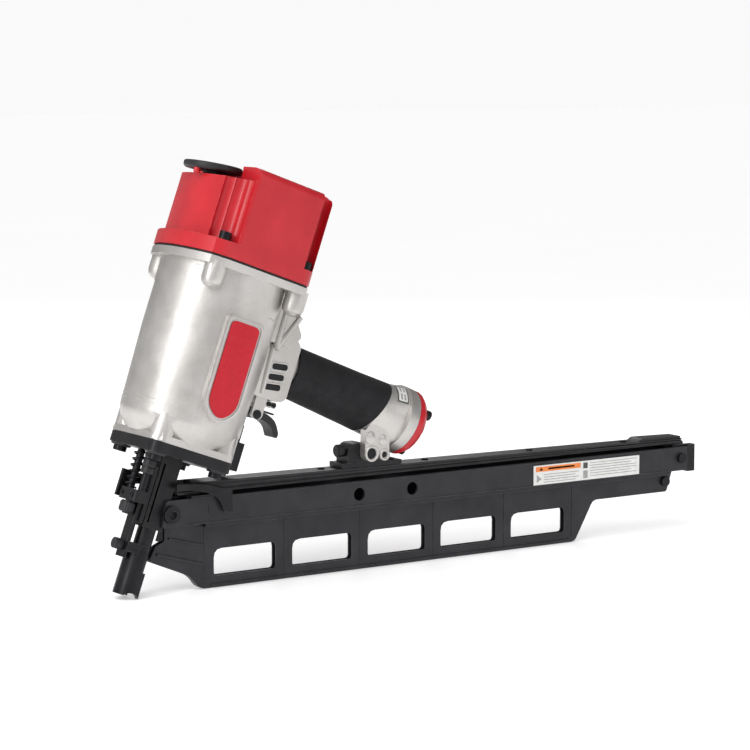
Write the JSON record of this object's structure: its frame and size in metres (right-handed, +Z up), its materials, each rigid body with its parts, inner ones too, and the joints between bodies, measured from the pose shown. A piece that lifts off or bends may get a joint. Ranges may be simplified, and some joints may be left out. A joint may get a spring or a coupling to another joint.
{
  "type": "pneumatic framing nailer",
  "caption": "Air-driven framing nail gun with a cast barrel, red cap, turning exhaust deflector, rubber grip, sprung contact tip and a long slotted straight magazine.",
  "frame": {"origin": "centre of the bounding box at the level of the magazine bottom edge, on which the tool stands", "axes": "+X along the magazine to the rear, +Y across the tool to its far side, +Z up"},
  "size_m": [0.5532, 0.1018, 0.3251],
  "materials": {
    "cast_aluminium": "bead blasted die casting",
    "red_paint": "gloss red powder coat",
    "black_plastic": "moulded black nylon",
    "black_steel": "black phosphated steel",
    "black_alloy": "satin black coated aluminium",
    "grip_rubber": "matt overmoulded rubber",
    "seal_rubber": "nitrile rubber",
    "steel": "ground steel",
    "dark_steel": "black oxide steel",
    "brass": "turned brass",
    "label": "printed sticker",
    "badge_red": "gloss red badge"
  },
  "bodies": {
    "body": {"main_housing": "cast_aluminium", "cylinder_cap": "red_paint", "end_cap": "red_paint", "cap_gasket": "seal_rubber", "cylinder_seal": "seal_rubber", "piston_stop": "seal_rubber", "bumper": "seal_rubber", "bracket_buffer": "seal_rubber", "cap_bolt_front_near": "dark_steel", "cap_bolt_front_far": "dark_steel", "cap_bolt_rear_near": "dark_steel", "cap_bolt_rear_far": "dark_steel", "nose_bolt_front_near": "dark_steel", "nose_bolt_front_far": "dark_steel", "nose_bolt_rear_near": "dark_steel", "nose_bolt_rear_far": "dark_steel", "safety_spring": "dark_steel", "deflector_screw": "dark_steel", "safety_rod_near": "dark_steel", "safety_rod_far": "dark_steel", "end_cap_bolt_lower": "dark_steel", "end_cap_bolt_far": "dark_steel", "end_cap_bolt_near": "dark_steel", "magazine_front_bolt_near": "dark_steel", "magazine_front_bolt_far": "dark_steel", "rear_stop_bolt": "dark_steel", "fin_bolt": "dark_steel", "bracket_bolt": "dark_steel", "bracket_nut": "dark_steel", "air_inlet_plug": "black_plastic", "cylinder_sleeve": "steel", "head_valve_spring": "steel", "trigger_pin": "steel", "trigger_valve_body": "steel", "nose_body": "black_steel", "nose_cover": "black_steel", "magazine_rail": "black_steel", "magazine_rear_stop": "black_steel", "magazine_bracket": "black_steel", "magazine_body": "black_alloy", "magazine_fin": "black_alloy", "handle_grip": "grip_rubber", "magazine_label": "label", "side_badge_near": "badge_red", "side_badge_far": "badge_red"},
    "deflector": {"exhaust_deflector": "black_plastic"},
    "head_valve": {"head_valve": "black_plastic"},
    "driver": {"piston": "steel", "piston_ring": "seal_rubber", "driver_blade": "dark_steel"},
    "trigger": {"trigger": "black_plastic"},
    "contact_lever": {"contact_lever": "dark_steel"},
    "valve_plunger": {"valve_plunger": "brass"},
    "safety": {"contact_tip": "dark_steel", "tip_screw": "black_plastic", "safety_carriage": "black_steel", "safety_arm": "dark_steel"},
    "depth_adjuster": {"depth_adjuster": "black_plastic"},
    "pusher": {"pusher": "black_steel", "pusher_spring": "steel"}
  },
  "joints": [
    {"name": "driver_stroke", "type": "slide", "parent": "body", "child": "driver", "axis": [-0.342, 0, -0.9397], "range_m": [0, 0.095]},
    {"name": "head_valve_lift", "type": "slide", "parent": "body", "child": "head_valve", "axis": [0.342, 0, 0.9397], "range_m": [0, 0.008], "stiffness_N_per_m": 600, "springref_m": -0.005, "deforming": ["head_valve_spring"]},
    {"name": "trigger_pull", "type": "hinge", "parent": "body", "child": "trigger", "pos_m": [-0.15661, 0, 0.13068], "axis": [0, -1, 0], "range_deg": [0, 8], "stiffness_Nm_per_rad": 0.01, "springref_deg": -17.19},
    {"name": "contact_lever_tilt", "type": "hinge", "parent": "trigger", "child": "contact_lever", "pos_m": [-0.1387, 0, 0.12874], "axis": [0, 1, 0], "range_deg": [0, 3], "stiffness_Nm_per_rad": 0.005, "springref_deg": -11.46},
    {"name": "plunger_travel", "type": "slide", "parent": "body", "child": "valve_plunger", "axis": [0.342, 0, 0.9397], "range_m": [0, 0.002]},
    {"name": "safety_travel", "type": "slide", "parent": "body", "child": "safety", "axis": [0.342, 0, 0.9397], "range_m": [0, 0.012], "stiffness_N_per_m": 500, "springref_m": -0.01, "deforming": ["safety_spring"]},
    {"name": "depth_adjuster_turn", "type": "hinge", "parent": "safety", "child": "depth_adjuster", "pos_m": [-0.26371, 0, 0.06857], "axis": [0.342, 0, 0.9397], "continuous": true},
    {"name": "deflector_turn", "type": "hinge", "parent": "body", "child": "deflector", "pos_m": [-0.18833, 0, 0.31516], "axis": [0.213, 0, 0.977], "continuous": true},
    {"name": "pusher_travel", "type": "slide", "parent": "body", "child": "pusher", "axis": [1, 0, 0], "range_m": [0, 0.4], "stiffness_N_per_m": 5, "springref_m": -1.2}
  ],
  "couplings": [
    {"joint": "trigger_pull", "follows": "plunger_travel", "rad_per_m": 69.8}
  ]
}
